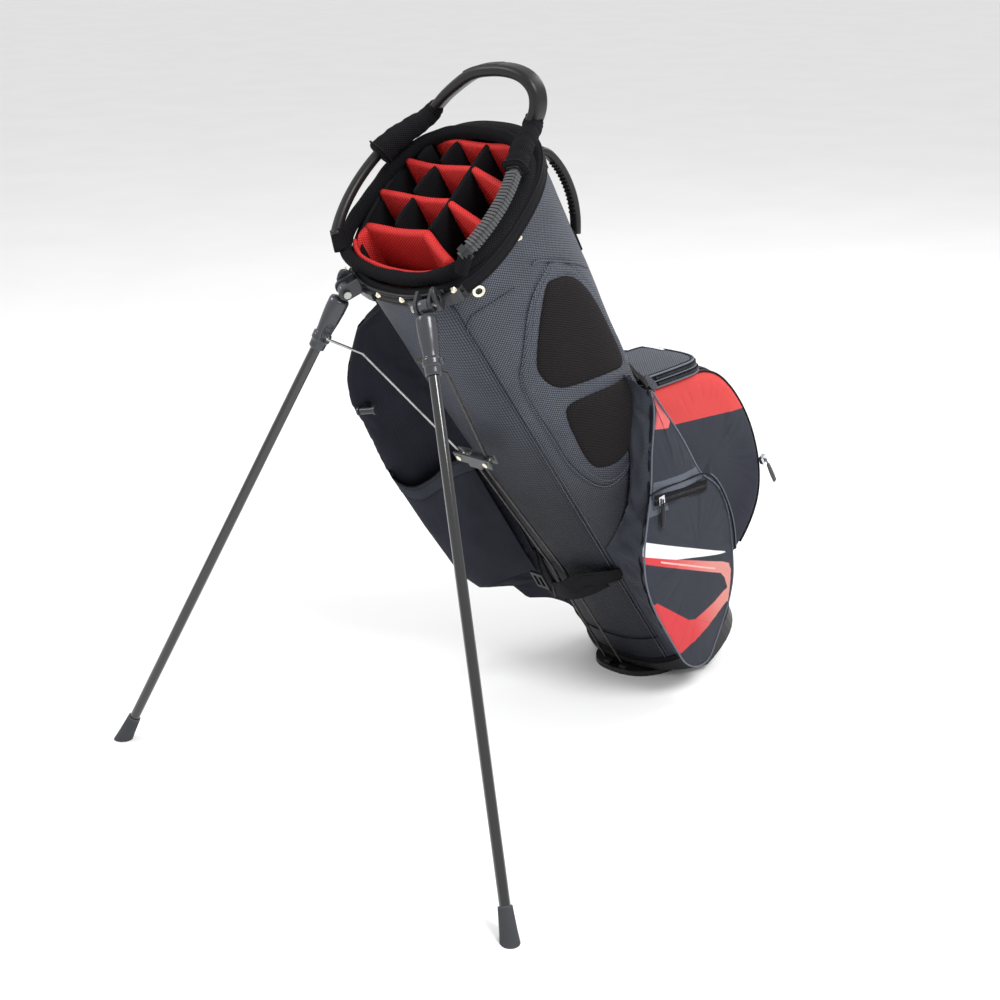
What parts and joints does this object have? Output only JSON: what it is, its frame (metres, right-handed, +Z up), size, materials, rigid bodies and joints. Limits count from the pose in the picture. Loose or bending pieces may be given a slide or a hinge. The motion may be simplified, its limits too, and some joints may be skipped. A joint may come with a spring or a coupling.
{
  "type": "golf stand bag",
  "caption": "Golf stand bag on two splayed folding legs and a hinged foot plate, with a divided padded mouth, carry handles and bulging side pockets.",
  "frame": {"origin": "on the ground under the middle of the foot plate's flat underside", "axes": "+Z up, -Y towards the deployed legs, +X towards the bag's right-hand leg as seen from behind the spine"},
  "size_m": [0.8098, 0.9232, 0.9521],
  "materials": {
    "upper_fabric": "fine diamond ripstop weave, slate grey",
    "lower_fabric": "plain charcoal twill",
    "coral_fabric": "coral woven panels beside the charcoal",
    "pad_mesh": "black spacer mesh",
    "red_mesh": "red padded mesh",
    "black_plastic": "moulded, fine grain",
    "grey_plastic": "moulded, satin",
    "leg_paint": "gloss black",
    "foot_rubber": "dull grey",
    "grip_rubber": "ribbed grey",
    "wire_steel": "drawn bright wire",
    "rivet_metal": "pale, lightly worn",
    "zip_tape": "black zip tape and teeth",
    "slider_metal": "plated",
    "webbing": "ribbed black webbing",
    "foam": "felted pad"
  },
  "bodies": {
    "bag": {"front_panel": "lower_fabric", "side_panel_left": "lower_fabric", "side_panel_right": "upper_fabric", "spine_panel": "lower_fabric", "collar": "black_plastic", "rim_padding": "pad_mesh", "stand_yoke": "black_plastic", "base_cup": "black_plastic", "base_pad": "foam", "stays": "wire_steel", "well_liner": "red_mesh", "rear_divider": "red_mesh", "upper_divider": "red_mesh", "lower_divider": "red_mesh", "long_divider": "pad_mesh", "short_dividers": "pad_mesh", "side_well_liner": "red_mesh", "top_handle": "black_plastic", "left_handle": "black_plastic", "right_handle": "grip_rubber", "handle_sleeve_left": "pad_mesh", "handle_sleeve_right": "pad_mesh", "back_handle": "black_plastic", "back_handle_anchors": "lower_fabric", "hip_pad_upper": "pad_mesh", "hip_pad_lower": "pad_mesh", "ball_pocket": "coral_fabric", "valuables_pocket": "upper_fabric", "side_pocket_right": "coral_fabric", "side_pocket_left": "lower_fabric", "open_pouch": "lower_fabric", "leg_bracket_left": "grey_plastic", "leg_bracket_right": "grey_plastic", "leg_pin_left": "wire_steel", "leg_pin_right": "wire_steel", "rivets": "rivet_metal", "grommet": "rivet_metal", "side_zipper": "zip_tape", "ball_zipper": "zip_tape", "leg_strap": "webbing", "strap_buckle": "black_plastic", "toggle": "grey_plastic", "foot_plate_pin": "wire_steel", "ball_slider": "slider_metal"},
    "leg_right": {"leg_knuckle_right": "grey_plastic", "leg_tube_right": "leg_paint", "leg_foot_right": "foot_rubber"},
    "leg_left": {"leg_knuckle_left": "grey_plastic", "leg_tube_left": "leg_paint", "leg_foot_left": "foot_rubber"},
    "actuator": {"rod_clip": "grey_plastic", "clip_rivets": "rivet_metal", "push_rods": "wire_steel"},
    "wire_link_right": {"wire_right": "wire_steel"},
    "wire_link_left": {"wire_left": "wire_steel"},
    "plate": {"foot_plate": "black_plastic"},
    "side_zip_slider": {"side_slider": "slider_metal"},
    "side_zip_pull": {"side_pull": "grey_plastic"},
    "ball_zip_pull": {"ball_pull": "grey_plastic"}
  },
  "joints": [
    {"name": "leg_right_fold", "type": "hinge", "parent": "bag", "child": "leg_right", "pos_m": [0.075, -0.47437, 0.67553], "axis": [0.8572, 0.4391, 0.2691], "range_deg": [0, 52.5]},
    {"name": "leg_left_fold", "type": "hinge", "parent": "bag", "child": "leg_left", "pos_m": [-0.075, -0.47437, 0.67553], "axis": [0.8572, -0.4391, -0.2691], "range_deg": [0, 52.5]},
    {"name": "rod_slide", "type": "slide", "parent": "bag", "child": "actuator", "axis": [0, 0.5225, -0.8526], "range_m": [0, 0.036]},
    {"name": "wire_right_swing", "type": "hinge", "parent": "actuator", "child": "wire_link_right", "pos_m": [0.025, -0.32109, 0.42347], "axis": [-0.8275, -0.5438, -0.1397], "range_deg": [0, 11.17]},
    {"name": "wire_left_swing", "type": "hinge", "parent": "actuator", "child": "wire_link_left", "pos_m": [-0.025, -0.32109, 0.42347], "axis": [-0.8275, 0.5438, 0.1397], "range_deg": [0, 11.17]},
    {"name": "plate_fold", "type": "hinge", "parent": "bag", "child": "plate", "pos_m": [0, 0.05, 0.0125], "axis": [1, 0, 0], "range_deg": [0, 31.5]},
    {"name": "side_zip_slide", "type": "slide", "parent": "bag", "child": "side_zip_slider", "axis": [0, 0.9925, 0.1219], "range_m": [-0.012, 0.09]},
    {"name": "side_zip_pull_swing", "type": "hinge", "parent": "side_zip_slider", "child": "side_zip_pull", "pos_m": [0.1697, -0.1228, 0.3453], "axis": [0, -1, 0], "range_deg": [0, 80]},
    {"name": "ball_zip_pull_swing", "type": "hinge", "parent": "bag", "child": "ball_zip_pull", "pos_m": [0.1077, 0.2074, 0.3075], "axis": [0, -0.866, -0.5], "range_deg": [0, 80]}
  ],
  "couplings": [
    {"joint": "leg_left_fold", "follows": "leg_right_fold", "ratio": 1},
    {"joint": "rod_slide", "follows": "leg_right_fold", "m_per_rad": 0.039288},
    {"joint": "wire_right_swing", "follows": "leg_right_fold", "ratio": 0.21252},
    {"joint": "wire_left_swing", "follows": "leg_right_fold", "ratio": 0.21252},
    {"joint": "plate_fold", "follows": "leg_right_fold", "ratio": 0.6}
  ]
}
